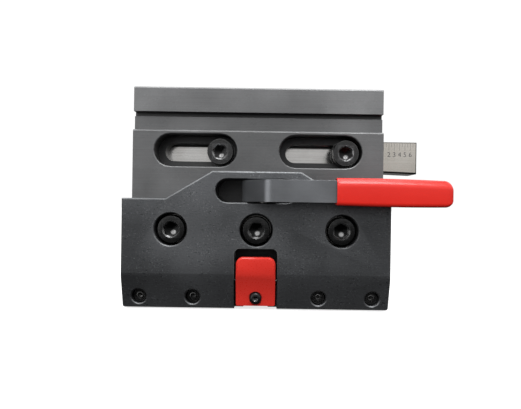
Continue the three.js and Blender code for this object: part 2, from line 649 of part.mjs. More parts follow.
function safetyButton() {
  const outline = rounded([
    [-BUTTON_HALF, BUTTON_BOTTOM_Z, BUTTON.footR], [BUTTON_HALF, BUTTON_BOTTOM_Z, BUTTON.footR],
    [BUTTON_HALF, BUTTON_TOP_Z, BUTTON.topR], [-BUTTON_HALF, BUTTON_TOP_Z, BUTTON.topR],
  ]);
  const profile = polygon([
    [slopeY(0), 0], [BUTTON_BACK_Y, 0], [BUTTON_BACK_Y, BUTTON.heelTopZ],
    [BUTTON.wallBackY, BUTTON.wallBackZ], [BUTTON.wallBackY, BUTTON_TOP_Z + 1],
    [PLATE_FRONT_Y - 1, BUTTON_TOP_Z + 1], [PLATE_FRONT_Y - 1, SLOPE_TOP_Z],
    ...Array.from({ length: BUTTON.scoopSteps }, (_, i) => scoopPoint(1 - i / BUTTON.scoopSteps)),
  ]);
  const z = BUTTON_SCREW_Z;
  return extrude(outline, 'y', PLATE_FRONT_Y, BUTTON_BACK_Y + 1, { bevel: BUTTON.edge })
    .intersect(extrude(profile, 'x', -POCKET_HALF, POCKET_HALF))
    .subtract(cylinderY(0, z, BUTTON_SCREW.headR + 0.5, PLATE_FRONT_Y, BUTTON_SCREW.seatY))
    .subtract(cylinderY(0, z, BUTTON_SCREW.r + GAP, PLATE_FRONT_Y, BUTTON_BACK_Y + 2, SMALL_ROUND))
    .subtract(cylinderX(BUTTON_PIN_Y, BUTTON_PIN_Z, BUTTON_PIN_R + GAP, -POCKET_HALF, POCKET_HALF))
    .subtract(cylinderY(0, BUTTON_SPRING_Z, BUTTON_SPRING.pocketR,
      BUTTON_SPRING.y0 - GAP, BUTTON.wallBackY + 1, SMALL_ROUND));
}

function buttonScrew() {
  const { r, headR, seatY, high, endY, across, socketDeep } = BUTTON_SCREW;
  const bearing = seatY - GAP;
  const dome = [0.45, 0.8, 1].map((t) => [headR * t, bearing - high * Math.sqrt(1 - t * t * 0.9)]);
  return turnedY(0, BUTTON_SCREW_Z, [
    [0, bearing - high], ...dome, [headR, bearing], [r, bearing], [r, endY], [0, endY],
  ], SMALL_ROUND).subtract(
    socket(0, BUTTON_SCREW_Z, across, bearing - high - 1, bearing - high + socketDeep));
}

function latchHook() {
  const profile = polygon([
    [HOOK.frontY, HOOK.z0], [HOOK.bodyY - 1, HOOK.z0], [HOOK.bodyY, HOOK.tipZ0],
    [HOOK.tipY - HOOK.tipEdge, HOOK.tipZ0], [HOOK.tipY, HOOK.tipZ0 + HOOK.tipEdge],
    [HOOK.tipY, HOOK.tipZ1], [HOOK.bodyY, HOOK.z1], [HOOK.frontY, HOOK.z1],
  ]);
  return extrude(profile, 'x', -HOOK.half, HOOK.half)
    .subtract(cylinderY(0, BUTTON_SCREW_Z, BUTTON_SCREW.r + GAP,
      HOOK.frontY - 1, BUTTON_SCREW.endY + 0.5, SMALL_ROUND));
}

const buttonPin = () => cylinderX(BUTTON_PIN_Y, BUTTON_PIN_Z, BUTTON_PIN_R,
  -BUTTON_PIN_HALF, BUTTON_PIN_HALF);

const buttonSpring = () => coilSpring(0, BUTTON_SPRING_Z, BUTTON_SPRING.r, BUTTON_SPRING.wireR,
  BUTTON_SPRING.y0, BUTTON_SPRING.y1, BUTTON_SPRING.turns);

// ---- spring plungers ----------------------------------------------------------------------

const PLUNGER = {
  frontY: -36.5, backY: -22, edge: 0.5, across: 3, socketDeep: 2.5,
  boreY: -31.5, boreR: 2.2, lipY: -23, lipR: 1.65,
  pinR: 1.3, pinEdge: 0.5, collarR: 1.8, collarFrontY: -25, tipY: -20.6, pinSides: 12,
  springR: 1.35, wireR: 0.35, turns: 4,
};

function plungerBody(x) {
  const p = PLUNGER;
  return turnedY(x, PLUNGER_Z, [
    [0, p.frontY], [PLUNGER_R - p.edge, p.frontY], [PLUNGER_R, p.frontY + p.edge],
    [PLUNGER_R, p.backY], [p.lipR, p.backY], [p.lipR, p.lipY], [p.boreR, p.lipY],
    [p.boreR, p.boreY], [0, p.boreY],
  ], SMALL_ROUND).subtract(socket(x, PLUNGER_Z, p.across, p.frontY - 1, p.frontY + p.socketDeep));
}

function plungerPin(x) {
  const p = PLUNGER;
  const collarBack = p.lipY - GAP;
  return turnedY(x, PLUNGER_Z, [
    [0, p.collarFrontY], [p.collarR, p.collarFrontY], [p.collarR, collarBack],
    [p.pinR, collarBack], [p.pinR, p.tipY - p.pinEdge], [p.pinR - p.pinEdge, p.tipY], [0, p.tipY],
  ], PLUNGER.pinSides);
}

const plungerSpring = (x) => coilSpring(x, PLUNGER_Z, PLUNGER.springR, PLUNGER.wireR,
  PLUNGER.boreY + GAP, PLUNGER.collarFrontY - GAP, PLUNGER.turns);

// ---- adjusting wedge ----------------------------------------------------------------------

function adjustingWedge() {
  const left = WEDGE_AT_REST_X - WEDGE_HALF_LENGTH;
  const right = WEDGE_AT_REST_X + WEDGE_HALF_LENGTH;
  const front = WEDGE_WALL_Y + GAP;
  const outline = polygon([
    [left, ledgeZ(left) + GAP], [right, ledgeZ(right) + GAP], [right, WEDGE_TOP_Z],
    [left, WEDGE_TOP_Z],
  ]);
  return wedgeScrewX.reduce((body, x) => body.subtract(
    cylinderY(x, WEDGE_SCREW_Z, WEDGE_SHANK_R + GAP, front - 1, WEDGE_SCREW_END_Y + TAP_CLEARANCE)),
  extrude(outline, 'y', front, front + WEDGE_DEPTH, { bevel: WEDGE_EDGE }));
}

const wedgeScrewX = [-1, 1].map((side) => WEDGE_AT_REST_X + side * WEDGE_SCREW_X);

const wedgeScrew = (x) =>
  capScrew(x, WEDGE_SCREW_Z, WEDGE_SCREW_HEAD_Y, WEDGE_SCREW_END_Y, WEDGE_SHANK_R);

function wedgeWasher(x) {
  const front = WEDGE_SCREW_HEAD_Y + HEAD_HIGH + GAP;
  const back = COUNTERBORE_FLOOR_Y - GAP;
  const inner = WEDGE_SHANK_R + GAP;
  return turnedY(x, WEDGE_SCREW_Z, [
    [inner, front], [WEDGE_WASHER_R, front], [WEDGE_WASHER_R, back], [inner, back],
  ], SMALL_ROUND);
}

// ---- the assembly -------------------------------------------------------------------------

piece('holder_body', holderBody(), FINISH.machinedOxide);
piece('cam_pressure_pad', pressurePad(), FINISH.hardenedSteel);
CLAMP_SCREW_X.forEach((x, i) => {
  const place = ['left', 'middle', 'right'][i];
  piece(`clamp_screw_${place}`,
    capScrew(x, CLAMP_SCREW_Z, CLAMP_HEAD_Y, SCREW_END_Y, SHANK_R), FINISH.screwOxide);
  piece(`convex_washer_${place}`, convexWasher(x), FINISH.hardenedSteel);
  piece(`conical_seat_${place}`, conicalSeat(x), FINISH.hardenedSteel);
});
['left', 'right'].forEach((place, i) => {
  const side = 2 * i - 1;
  piece(`alignment_dowel_${place}`, dowel(side * DOWEL_X), FINISH.hardenedSteel);
  piece(`return_spring_${place}`, returnSpring(side * RETURN_SPRING_X), FINISH.springSteel);
  piece(`wedge_screw_${place}`, wedgeScrew(wedgeScrewX[i]), FINISH.screwOxide);
  piece(`wedge_washer_${place}`, wedgeWasher(wedgeScrewX[i]), FINISH.screwOxide);
});
piece('adjusting_wedge', adjustingWedge(), FINISH.groundSteel);
piece('clamp_plate', clampPlate(), FINISH.plateOxide);
piece('lever_arm', leverArm(), FINISH.leverOxide);
piece('lever_grip', leverGrip(), FINISH.redVinyl);
piece('lever_pivot_pin', pivotPin(), FINISH.hardenedSteel);
piece('pivot_pin_grub_screw', grubScrew(), FINISH.screwOxide);
piece('safety_button', safetyButton(), FINISH.redPaint);
piece('button_screw', buttonScrew(), FINISH.screwOxide);
piece('button_pivot_pin', buttonPin(), FINISH.screwOxide);
piece('button_spring', buttonSpring(), FINISH.springSteel);
piece('latch_hook', latchHook(), FINISH.hardenedSteel);
PLUNGER_X.forEach((x, i) => {
  piece(`plunger_body_${i + 1}`, plungerBody(x), FINISH.screwOxide);
  piece(`plunger_pin_${i + 1}`, plungerPin(x), FINISH.hardenedSteel);
  piece(`plunger_spring_${i + 1}`, plungerSpring(x), FINISH.springSteel);
});

export default group;
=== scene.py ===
"""Looks for a press brake punch quick clamp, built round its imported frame.

The axes are the frame's own: +X along the clamp, +Z up, the operator's side at -Y. The frame, the
floor, the lights and the camera are in metres. Sizes and places of the clamp's own are named in
millimetres, and MM turns them into metres.
"""

import json
import math

import bmesh
import bpy
from mathutils import Matrix, Vector


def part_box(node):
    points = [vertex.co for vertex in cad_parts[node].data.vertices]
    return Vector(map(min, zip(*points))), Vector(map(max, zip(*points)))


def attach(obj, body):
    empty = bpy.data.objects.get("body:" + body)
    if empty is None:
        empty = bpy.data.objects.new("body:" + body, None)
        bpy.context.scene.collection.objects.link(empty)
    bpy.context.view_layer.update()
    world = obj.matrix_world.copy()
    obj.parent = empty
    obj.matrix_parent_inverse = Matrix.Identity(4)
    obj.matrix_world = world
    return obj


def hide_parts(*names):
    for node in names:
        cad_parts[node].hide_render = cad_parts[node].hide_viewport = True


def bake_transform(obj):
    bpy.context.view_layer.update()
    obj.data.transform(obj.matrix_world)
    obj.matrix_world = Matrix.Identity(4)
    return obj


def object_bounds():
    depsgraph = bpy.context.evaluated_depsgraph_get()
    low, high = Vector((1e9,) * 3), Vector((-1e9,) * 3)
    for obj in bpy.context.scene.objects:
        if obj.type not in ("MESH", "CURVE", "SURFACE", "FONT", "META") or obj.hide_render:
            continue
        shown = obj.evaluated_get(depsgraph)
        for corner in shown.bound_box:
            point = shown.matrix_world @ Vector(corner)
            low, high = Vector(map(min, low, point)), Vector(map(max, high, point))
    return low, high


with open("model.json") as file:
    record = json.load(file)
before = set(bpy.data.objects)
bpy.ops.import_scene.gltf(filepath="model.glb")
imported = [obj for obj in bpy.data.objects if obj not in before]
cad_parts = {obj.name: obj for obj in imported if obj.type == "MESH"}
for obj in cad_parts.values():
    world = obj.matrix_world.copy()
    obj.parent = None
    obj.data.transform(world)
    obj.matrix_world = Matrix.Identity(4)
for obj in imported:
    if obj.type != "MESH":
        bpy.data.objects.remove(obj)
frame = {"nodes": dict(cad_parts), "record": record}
CAD_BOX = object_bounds()

MM = 0.001
TURN = 2 * math.pi
X, Y, Z = 0, 1, 2
NODES = frame["nodes"]
BODY_OF = {node: body for body, nodes in frame["record"]["behaviour"]["bodies"].items()
           for node in nodes}
SLOT_OF = {node: piece.data.materials[0].name for node, piece in NODES.items()}


def corners(node):
    """The low and the high corner of a node's box, in millimetres."""
    return [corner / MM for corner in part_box(node)]


def axis_of(node):
    """The x and z of an axis along Y through the middle of a node, in millimetres."""
    low, high = corners(node)
    return (low.x + high.x) / 2, (low.z + high.z) / 2


# ---- materials ------------------------------------------------------------------------------


class Finish:
    """A material being wired: its shader, and one method for each kind of pattern it is made of.

    Places are the object's own, in millimetres, so a pattern moves with its piece.
    """

    def __init__(self, name, **shader_values):
        self.material = bpy.data.materials.new(name)
        self.material.use_nodes = True
        self.tree = self.material.node_tree
        self.shader = self.tree.nodes["Principled BSDF"]
        for socket, value in shader_values.items():
            self.shader.inputs[socket.replace("_", " ")].default_value = value
        place = self.node("TexCoord").outputs["Object"]
        self.place = self.node("VectorMath", {0: place, "Scale": 1 / MM}, operation="SCALE").outputs[0]
        self.height = None

    def node(self, kind, values=None, **settings):
        """A new node: settings are its own properties, values are numbers or other nodes' outputs."""
        made = self.tree.nodes.new("ShaderNode" + kind)
        for key, value in settings.items():
            setattr(made, key, value)
        for key, value in (values or {}).items():
            if isinstance(value, bpy.types.NodeSocket):
                self.tree.links.new(value, made.inputs[key])
            else:
                made.inputs[key].default_value = value
        return made

    def math(self, operation, a, b):
        return self.node("Math", {0: a, 1: b}, operation=operation).outputs[0]

    def remap(self, value, low, high, to_low=0.0, to_high=1.0):
        """value, taken from low..high to to_low..to_high and held there outside it."""
        return self.node("MapRange", {0: value, 1: low, 2: high, 3: to_low, 4: to_high}).outputs[0]

    def noise(self, size, detail, stretch=(1, 1, 1), roughness=0.5):
        """Cloudy noise with features about size millimetres across, drawn out along an axis by stretch."""
        per_mm = [1 / (size * s) for s in stretch]
        place = self.node("VectorMath", {0: self.place, 1: per_mm}, operation="MULTIPLY").outputs[0]
        return self.node("TexNoise", {"Vector": place, "Scale": 1.0, "Detail": detail,
                                      "Roughness": roughness}).outputs["Fac"]

    def blend(self, share, first, second, kind="MIX"):
        """The colour first turning into second as share goes from 0 to 1."""
        made = self.node("Mix", {"Factor": share, 6: first, 7: second}, data_type="RGBA", blend_type=kind)
        return made.outputs[2]

    def scaled(self, colour, times):
        """The colour made that many times as light."""
        return self.node("VectorMath", {0: colour, "Scale": times}, operation="SCALE").outputs[0]

    def along(self, axis):
        """The place along an axis, in millimetres."""
        return self.node("SeparateXYZ", {0: self.place}).outputs[axis]

    def inside(self, boxes):
        """1 within any of the boxes, each a low and a high corner, and 0 outside them."""
        blur = 0.1
        parts = self.node("SeparateXYZ", {0: self.place}).outputs
        found = None
        for low, high in boxes:
            share = 1.0
            for part, least, most in zip(parts, low, high):
                share = self.math("MULTIPLY", share, self.remap(part, least - blur, least + blur))
                share = self.math("MULTIPLY", share, self.remap(part, most - blur, most + blur, 1, 0))
            found = share if found is None else self.math("MAXIMUM", found, share)
        return found

    def near(self, points, radius):
        """1 close to any of the points, fading to 0 at radius millimetres from it."""
        found = 0.0
        for point in points:
            gap = self.node("VectorMath", {0: self.place, 1: point}, operation="DISTANCE").outputs["Value"]
            found = self.math("MAXIMUM", self.remap(gap, 0.6 * radius, radius, 1, 0), found)
        return found

    def edges(self, radius):
        """1 on an edge of the shape and 0 on its flats, within radius millimetres of the edge."""
        rounded = self.node("Bevel", {"Radius": radius * MM}, samples=6).outputs["Normal"]
        straight = self.node("NewGeometry").outputs["Normal"]
        alike = self.node("VectorMath", {0: rounded, 1: straight}, operation="DOT_PRODUCT")
        on_flat, on_edge = 0.995, 0.90
        return self.remap(alike.outputs["Value"], on_flat, on_edge)

    def relief(self, height, depth):
        """Adds a height from 0 to 1 to the surface's bump, where 1 stands for depth millimetres."""
        values = {"Height": height, "Distance": depth * MM, "Strength": 1.0}
        if self.height is not None:
            values["Normal"] = self.height
        self.height = self.node("Bump", values).outputs["Normal"]

    def done(self, colour, roughness):
        """Wires the colour, the roughness and the relief to the shader."""
        self.tree.links.new(colour, self.shader.inputs["Base Color"])
        self.tree.links.new(roughness, self.shader.inputs["Roughness"])
        if self.height is not None:
            self.tree.links.new(self.height, self.shader.inputs["Normal"])
        return self.material


def grey(value, blue=1.0):
    """A grey of that linear value, a little warmer or bluer."""
    return (value, value * (0.6 + 0.4 * blue), value * blue, 1.0)


def oxide(name, tone, blue, grain, lines, roughness, worn, fades, shades=(), glints=()):
    """Blackened steel: cloudy tone, grain or cutter lines in its relief, and bare metal on worn edges.

    Each of the fades is (axis, low, high, first, last), a painted gradient of light and shade: the tone
    is first times as light up to low millimetres along the axis, and last times from high on. shades are
    (times, boxes): painted shade on the surfaces within the boxes, or a painted highlight where times is
    over 1. glints are painted highlights, round spots of bright steel colour.
    """
    made = Finish(name, Metallic=0.85, IOR=1.5)
    clouds = made.noise(26, 4)
    streaks = made.noise(2.6, 3, (26, 1, 0.22))
    specks = made.noise(0.9, 2, (2, 1, 0.8))
    colour = made.blend(made.remap(clouds, 0.3, 0.7), grey(tone * 0.88, blue), grey(tone * 1.12, blue))
    colour = made.blend(made.math("MULTIPLY", made.remap(streaks, 0.35, 0.75), lines), colour,
                        grey(tone * 1.45, blue))
    crowd = made.remap(made.noise(7, 3), 0.42, 0.62, 0.3, 1.0)
    pits = made.math("MULTIPLY", made.remap(specks, 0.57, 0.72), crowd)
    grit = made.math("MULTIPLY", made.remap(made.noise(0.8, 2, roughness=0.7), 0.58, 0.70), crowd)
    colour = made.blend(made.math("MULTIPLY", pits, grain * 0.6), colour, grey(tone * 0.35, blue))
    colour = made.blend(made.math("MULTIPLY", grit, grain * 0.4), colour, grey(tone * 2.6, blue))
    # painted light and shade: the tone graded along an axis
    for axis, low, high, first, last in fades:
        colour = made.scaled(colour, made.remap(made.along(axis), low, high, first, last))
    # painted shade within the boxes, or a painted highlight where times is over 1
    for times, boxes in shades:
        colour = made.scaled(colour, made.remap(made.inside(boxes), 0, 1, 1, times))
    # painted glints: round spots of bright steel colour
    if glints:
        colour = made.blend(made.near(glints, GLINT_RADIUS), colour, GLINT_COLOUR)
    rub = made.remap(made.noise(5.5, 4), 0.36, 0.64)
    bare = made.math("MULTIPLY", made.math("MULTIPLY", made.edges(radius=0.5), rub), worn)
    colour = made.blend(bare, colour, WORN_STEEL)
    made.relief(specks, 0.035 * grain)
    made.relief(streaks, LINE_DEPTH * lines)
    gloss = made.math("ADD", made.remap(clouds, 0.3, 0.7, roughness - 0.05, roughness + 0.06),
                      made.remap(specks, 0.3, 0.8, -0.04, 0.06))
    gloss = made.math("SUBTRACT", gloss, made.math("MULTIPLY", bare, 0.12))
    return made.done(colour, gloss)


def ground_colour(made, tone, lines):
    """The stained colour of ground steel, and the streaks that its grinding left along X."""
    stains = made.noise(14, 4)
    streaks = made.noise(1.1, 3, (40, 1, 0.35))
    colour = made.blend(made.remap(stains, 0.35, 0.7), grey(tone, 0.97), grey(tone * 0.86, 0.94))
    colour = made.blend(made.math("MULTIPLY", made.remap(streaks, 0.3, 0.75), lines), colour,
                        grey(tone * 0.74, 0.96))
    return colour, streaks


def ground(made, colour, streaks, roughness, lines):
    """The finished material of that colour, with the streaks in its relief and its gloss."""
    made.relief(streaks, LINE_DEPTH * lines)
    return made.done(colour, made.remap(streaks, 0.25, 0.8, roughness - 0.06, roughness + 0.08))


def bright_steel(name, tone, roughness, lines):
    """Bare steel with grinding lines along X and faint stains."""
    made = Finish(name, Metallic=1.0)
    colour, streaks = ground_colour(made, tone, lines)
    return ground(made, colour, streaks, roughness, lines)


def wedge_steel(name, tone, roughness, lines):
    """Ground steel, darkened along the chamfers of its sole, its top and its right end, mostly in front.

    In a band under the upper edge of the wall's slots the darkening is painted shade. From x = 70 to 75
    its right end turns a little darker and yellower.
    """
    made = Finish(name, Metallic=1.0)
    colour, streaks = ground_colour(made, tone, lines)
    low, high = corners("adjusting_wedge")
    x, z = made.along(X), made.along(Z)
    sole = made.math("ADD", z, made.math("MULTIPLY", x, WEDGE_TAPER))
    above_sole = made.math("SUBTRACT", sole, low.z + high.x * WEDGE_TAPER)
    # darker along the chamfers of the sole, the top and the right end
    dark_edges_and_shade = made.remap(above_sole, 0.9, 1.2, 1, 0)
    for place, end in ((x, high.x), (z, high.z)):
        dark_edges_and_shade = made.math("MAXIMUM", dark_edges_and_shade, made.remap(place, end - 0.85, end - 0.6))
    # painted shade: a band under the upper edge of the wall's slots
    band = ((low.x, low.y - 1, SLOT_BAND_FOOT), (SLOT_BAND_END, low.y + 1, SLOT_BAND_TOP))
    dark_edges_and_shade = made.math("MAXIMUM", dark_edges_and_shade, made.inside([band]))
    share = made.remap(made.along(Y), low.y + 0.7, low.y + 0.9, 0.92, 0.3)
    colour = made.blend(made.math("MULTIPLY", dark_edges_and_shade, share), colour, EDGE_DARK_AND_SHADE)
    # the right end a little darker and yellower from x = 70 to 75
    colour = made.blend(made.remap(x, 70, 75), colour, END_TINT, "MULTIPLY")
    return ground(made, colour, streaks, roughness, lines)


def enamel(name, colour, deep, roughness, coat, peel):
    """Red paint or dipped vinyl: slight colour drift, orange peel of a given depth, dust in the gloss."""
    made = Finish(name, Coat_Weight=coat, Coat_Roughness=0.10, IOR=1.40)
    drift = made.noise(17, 3)
    dust = made.noise(0.9, 3)
    tint = made.blend(made.remap(drift, 0.3, 0.7), colour, deep)
    tint = made.blend(made.remap(dust, 0.70, 0.80, 0, 0.15), tint, RED_DUST)
    made.relief(made.noise(3.5, 2), peel)
    return made.done(tint, made.remap(dust, 0.3, 0.75, roughness - 0.015, roughness + 0.025))


def dark_fill(name):
    """Dusty black, for the marks on the wedge."""
    made = Finish(name)
    dust = made.noise(0.25, 2)
    return made.done(made.blend(dust, grey(0.03), grey(0.10)), made.remap(dust, 0.3, 0.7, 0.6, 0.8))


LINE_DEPTH = 0.02                  # of the cutter's and the grinding lines, in millimetres
GLINT_RADIUS = 1.7
GLINT_COLOUR = grey(0.30)
WORN_STEEL = grey(0.36, 0.99)
# the colour of the wedge's darkened chamfers and of its painted shade
EDGE_DARK_AND_SHADE = grey(0.012)
END_TINT = (1.0, 0.96, 0.90, 1.0)
RED_DUST = (0.55, 0.30, 0.28, 1.0)
WEDGE_TAPER = 1 / 30               # the rise of the wedge's sole in its length

# Places on the clamp, in millimetres. The boxes mark where shade is painted on what lies deep in it.
# a band of painted shade on the wedge, under the slots' upper edge:
SLOT_BAND_FOOT = 96.3              # the dark band on the wedge under the slots' upper edge,
SLOT_BAND_TOP = 99.0               # which runs up behind the wall
SLOT_BAND_END = 60.0               # and ends just past the right slot

BODY_LOW, BODY_HIGH = corners("holder_body")
BODY_FRONT = -22.0
WALL_BACK = 3.4
ABOVE_TANG_SLOT = 34.0
BELOW_GROOVE = 103.4
IN_THE_WALL = ((BODY_LOW.x + 0.5, BODY_FRONT + 0.6, ABOVE_TANG_SLOT),
               (BODY_HIGH.x - 0.5, WALL_BACK, BELOW_GROOVE))
BEHIND_THE_LEVER = ((-26, BODY_FRONT - 1, 40), (26, BODY_FRONT + 1, 76))
UNDER_THE_LIP = ((BODY_LOW.x - 1, -17.3, 112.2), (BODY_HIGH.x + 1, -15, 115.2))
LIP_FOOT = 115.0

PLATE_FRONT = corners("clamp_plate")[0].y
BEHIND_CHAMFER = PLATE_FRONT + 0.8
BEHIND_PLATE = -20.0
BUTTON_POCKET = ((-12.3, BEHIND_CHAMFER, -1), (12.3, BEHIND_PLATE, 36.4))
LEVER_WINDOW = ((-23.2, BEHIND_CHAMFER, 60.8), (23, BEHIND_PLATE, 74))
SLOPE_TOP = 21.0                   # where the plate's front bends into its lower slope

HEAD_HIGH = 10.0                   # an M10 cap screw's head,
KEY_ACROSS = 8.0                   # and the flats of its socket
SOCKET_MOUTH = 4.85                # the radius of the chamfer at the socket's mouth
RIM_DEEP = 0.9                     # how deep the painted highlight on the socket's rim reaches, and how deep the painted shade on its walls
SOCKET_DEEP = 4.6                  # and how deep its dark walls
CAP_SCREWS = [node for node in NODES if node.startswith(("clamp_screw", "wedge_screw"))]


def screw_depths(node, start, end):
    """The box round a screw's head from start to end millimetres behind its face."""
    low, high = corners(node)
    return (low.x, low.y + start, low.z), (high.x, low.y + end, high.z)


def socket_rim(node):
    """The box round the chamfer at a socket's mouth."""
    x, z = axis_of(node)
    front = corners(node)[0].y
    reach = SOCKET_MOUTH + 0.05
    return (x - reach, front + 0.05, z - reach), (x + reach, front + RIM_DEEP, z + reach)


def painted_glint_spot(node):
    """The spot on a socket's floor, low and a little to the right, where a glint is painted."""
    x, z = axis_of(node)
    return x + 0.5, corners(node)[0].y + SOCKET_DEEP + 0.4, z - 1.8


# Painted shade on the sockets' walls and floors, painted highlights on their rims, and painted glints.
SOCKET_WALLS = [screw_depths(node, RIM_DEEP, SOCKET_DEEP) for node in CAP_SCREWS]
SOCKET_FLOORS = [screw_depths(node, SOCKET_DEEP, SOCKET_DEEP + 3) for node in CAP_SCREWS]
SOCKET_RIMS = [socket_rim(node) for node in CAP_SCREWS]
PAINTED_GLINTS = [painted_glint_spot(node) for node in CAP_SCREWS]

FINISHES = {
    "machined_oxide": oxide(
        "machined_oxide", tone=0.128, blue=1.03, grain=0.3, lines=0.25, roughness=0.38, worn=0.3,
        # the lip bar lighter, partly its finish and partly painted light; painted light towards both ends
        fades=[(Z, LIP_FOOT - 0.5, LIP_FOOT + 0.5, 1.0, 1.25), (X, -62, -25, 1.16, 1.0),
               (X, 20, 58, 1.0, 1.34)],
        # painted shade in the wall's slots, behind the lever and under the lip
        shades=[(0.45, [IN_THE_WALL, BEHIND_THE_LEVER, UNDER_THE_LIP])]),
    "plate_oxide": oxide(
        "plate_oxide", tone=0.093, blue=1.09, grain=1.8, lines=0.2, roughness=0.42, worn=0.8,
        # painted light and shade: lighter up the hump, above the slope and at the foot; the slope darker
        fades=[(Z, 50, 80, 1.0, 1.4), (Z, SLOPE_TOP, 46, 1.3, 1.0),
               (Z, SLOPE_TOP - 0.1, SLOPE_TOP + 0.1, 0.78, 1.0), (Z, 4, 20, 1.22, 1.0)],
        # painted shade in the button's pocket and the lever's window
        shades=[(0.15, [BUTTON_POCKET]), (0.4, [LEVER_WINDOW])]),
    "lever_oxide": oxide(
        "lever_oxide", tone=0.18, blue=1.10, grain=0.05, lines=0.1, roughness=0.38, worn=0.4,
        # painted shade: the lever darker where it lies behind the plate's face
        fades=[(Y, PLATE_FRONT + 0.5, PLATE_FRONT + 4, 1.0, 0.45)]),
    "screw_oxide": oxide(
        "screw_oxide", tone=0.024, blue=1.02, grain=1.6, lines=0.0, roughness=0.22, worn=1.0,
        # painted light: the wedge screws' heads, higher up, lighter
        fades=[(Z, 76, 82, 1.0, 2.3)],
        # painted shade in the sockets, painted highlights on their rims and glints on their floors
        shades=[(0.25, SOCKET_WALLS), (0.3, SOCKET_FLOORS), (3.0, SOCKET_RIMS)], glints=PAINTED_GLINTS),
    "ground_steel": wedge_steel("ground_steel", tone=0.97, roughness=0.19, lines=0.5),
    "hardened_steel": bright_steel("hardened_steel", tone=0.42, roughness=0.28, lines=0.4),
    "spring_steel": bright_steel("spring_steel", tone=0.30, roughness=0.30, lines=0.2),
    "red_paint": enamel("red_paint", colour=(0.52, 0.026, 0.018, 1), deep=(0.49, 0.024, 0.017, 1),
                        roughness=0.28, coat=0.5, peel=0.002),
    "red_vinyl": enamel("red_vinyl", colour=(0.51, 0.017, 0.011, 1), deep=(0.48, 0.015, 0.010, 1),
                        roughness=0.22, coat=0.08, peel=0.002),
}
INK = dark_fill("mark_fill")


# ---- edges of the carried-over nodes ----------------------------------------------------------


def tidy_shading(crease):
    """Geometry nodes that weld a faceted shape and smooth it, but for edges of crease degrees or more."""
    tree = bpy.data.node_groups.new(f"tidy_shading_{crease}", "GeometryNodeTree")
    tree.interface.new_socket("Geometry", in_out="INPUT", socket_type="NodeSocketGeometry")
    tree.interface.new_socket("Geometry", in_out="OUTPUT", socket_type="NodeSocketGeometry")

    def add(kind, geometry, **values):
        made = tree.nodes.new("GeometryNode" + kind)
        tree.links.new(geometry, made.inputs["Geometry"])
        for key, value in values.items():
            made.inputs[key.replace("_", " ")].default_value = value
        return made

    welded = add("MergeByDistance", tree.nodes.new("NodeGroupInput").outputs[0], Distance=1e-6)
    plain = add("RemoveAttribute", welded.outputs[0], Name="custom_normal")
    smooth = add("SetShadeSmooth", plain.outputs[0], Shade_Smooth=True)
    split = add("SetShadeSmooth", smooth.outputs[0], Shade_Smooth=False)
    split.domain = "EDGE"
    angle = tree.nodes.new("GeometryNodeInputMeshEdgeAngle")
    steep = tree.nodes.new("FunctionNodeCompare")
    steep.inputs[1].default_value = math.radians(crease)
    tree.links.new(angle.outputs["Unsigned Angle"], steep.inputs[0])
    tree.links.new(steep.outputs[0], split.inputs["Selection"])
    tree.links.new(split.outputs[0], tree.nodes.new("NodeGroupOutput").inputs[0])
    return tree


CREASE = 28
TIDY = tidy_shading(CREASE)


def soften(node, width):
    """Breaks a node's sharp edges by width millimetres, as a deburring wheel does."""
    piece = NODES[node]
    flats = piece.modifiers.new("flats", "DECIMATE")
    flats.decimate_type = "DISSOLVE"
    flats.angle_limit = math.radians(0.5)
    edges = piece.modifiers.new("edges", "BEVEL")
    edges.width = width * MM
    edges.segments = 2
    edges.limit_method = "ANGLE"
    edges.angle_limit = math.radians(CREASE)
    edges.harden_normals = True


EDGE_WIDTHS = {"holder_body": 0.25, "clamp_plate": 0.35, "lever_arm": 0.5, "adjusting_wedge": 0.2,
               "safety_button": 0.5}
for node, piece in NODES.items():
    piece.data.materials[0] = FINISHES[SLOT_OF[node]]
    piece.modifiers.new("tidy", "NODES").node_group = TIDY
for node, width in EDGE_WIDTHS.items():
    soften(node, width)


# ---- detailed pieces ----------------------------------------------------------------------------


def skin(node, rings, crease=32):
    """A closed piece in place of a node, drawn over rings of points in millimetres, its ends drawn shut.

    All rings have as many points, and where a ring shrinks to one place its points are welded. The
    caller may set the body that the piece rides on.
    """
    count = len(rings[0])
    shape = bmesh.new()
    rows = [[shape.verts.new([c * MM for c in point]) for point in ring] for ring in rings]
    for row, after in zip(rows, rows[1:]):
        for i in range(count):
            j = (i + 1) % count
            shape.faces.new((row[i], row[j], after[j], after[i]))
    for row in (rows[0], rows[-1]):
        centre = shape.verts.new(sum((v.co for v in row), Vector()) / count)
        for i in range(count):
            shape.faces.new((row[i], row[(i + 1) % count], centre))
    bmesh.ops.remove_doubles(shape, verts=shape.verts, dist=1e-7)
    bmesh.ops.dissolve_degenerate(shape, edges=shape.edges, dist=1e-8)
    bmesh.ops.recalc_face_normals(shape, faces=shape.faces)
    mesh = bpy.data.meshes.new(node + "_detail")
    shape.to_mesh(mesh)
    shape.free()
    mesh.shade_smooth()
    mesh.set_sharp_from_angle(angle=math.radians(crease))
    mesh.materials.append(FINISHES[SLOT_OF[node]])
    piece = bpy.data.objects.new(node + "_detail", mesh)
    bpy.context.scene.collection.objects.link(piece)
    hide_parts(node)
    return piece


